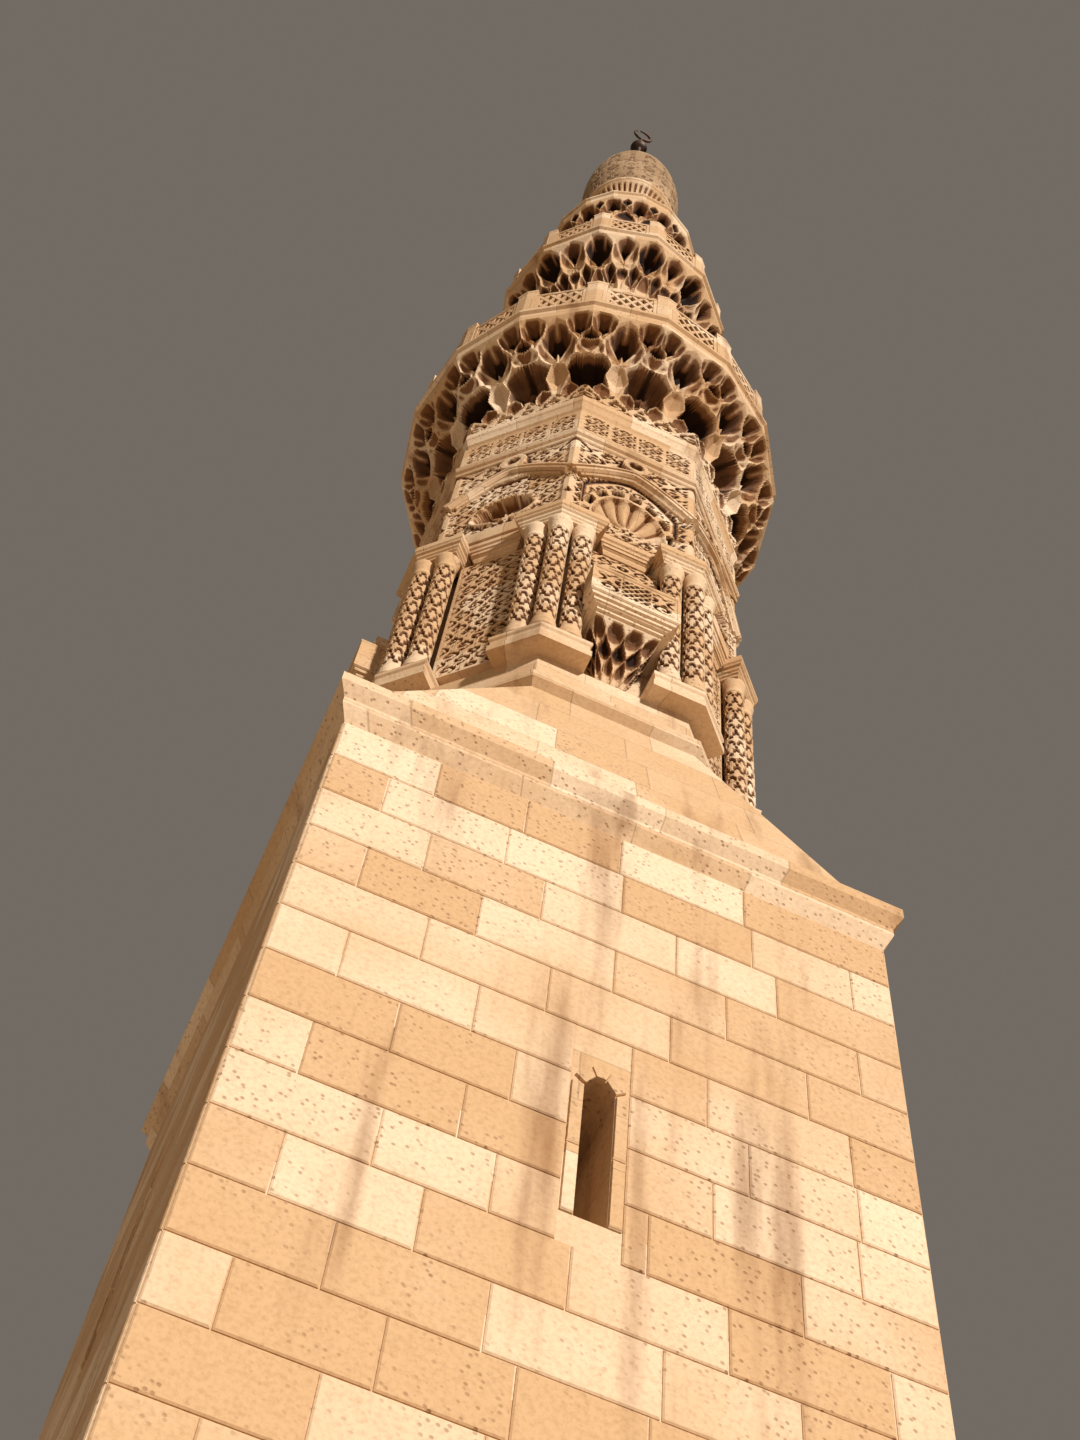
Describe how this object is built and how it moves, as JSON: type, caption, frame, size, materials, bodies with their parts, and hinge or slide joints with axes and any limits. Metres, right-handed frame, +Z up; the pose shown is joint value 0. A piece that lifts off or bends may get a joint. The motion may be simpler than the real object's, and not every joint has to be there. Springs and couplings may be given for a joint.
{
  "type": "minaret",
  "caption": "Tall stone minaret: square base, octagonal storey with clustered colonnettes, round storey, columned pavilion, stalactite-corbelled balconies and a bulb finial.",
  "frame": {"origin": "on the tower's axis at ground level, in the middle of the plinth's underside", "axes": "+Z up; -Y is the front, square to the octagon face that the picture shows best"},
  "size_m": [3.764, 3.764, 39.3729],
  "materials": {
    "limestone": "weathered, carved",
    "bulb_stone": "weathered, darker",
    "bronze": "dark patina"
  },
  "bodies": {
    "root": {"plinth": "limestone", "base_wall_front": "limestone", "base_wall_back": "limestone", "base_wall_left": "limestone", "base_wall_right": "limestone", "base_cornice": "limestone", "transition": "limestone", "octagon_wall_front": "limestone", "octagon_wall_front_right": "limestone", "octagon_wall_right": "limestone", "octagon_wall_back_right": "limestone", "octagon_wall_back": "limestone", "octagon_wall_back_left": "limestone", "octagon_wall_left": "limestone", "octagon_wall_front_left": "limestone", "column_cluster_1": "limestone", "column_cluster_2": "limestone", "column_cluster_3": "limestone", "column_cluster_4": "limestone", "column_cluster_5": "limestone", "column_cluster_6": "limestone", "column_cluster_7": "limestone", "column_cluster_8": "limestone", "small_balcony_front": "limestone", "small_balcony_right": "limestone", "small_balcony_back": "limestone", "small_balcony_left": "limestone", "octagon_floor": "limestone", "octagon_band": "limestone", "octagon_cornice": "limestone", "muqarnas_1": "limestone", "balcony_1_floor": "limestone", "balustrade_1_front": "limestone", "balustrade_1_back": "limestone", "round_wall_front": "limestone", "round_wall_right": "limestone", "round_wall_back": "limestone", "round_wall_left": "limestone", "muqarnas_2": "limestone", "balcony_2_floor": "limestone", "balustrade_2_front": "limestone", "balustrade_2_back": "limestone", "pavilion_columns": "limestone", "pavilion_beam": "limestone", "muqarnas_3": "limestone", "crown_cornice": "limestone", "neck": "limestone", "bulb": "bulb_stone", "finial": "bronze", "crescent": "bronze"}
  },
  "joints": []
}
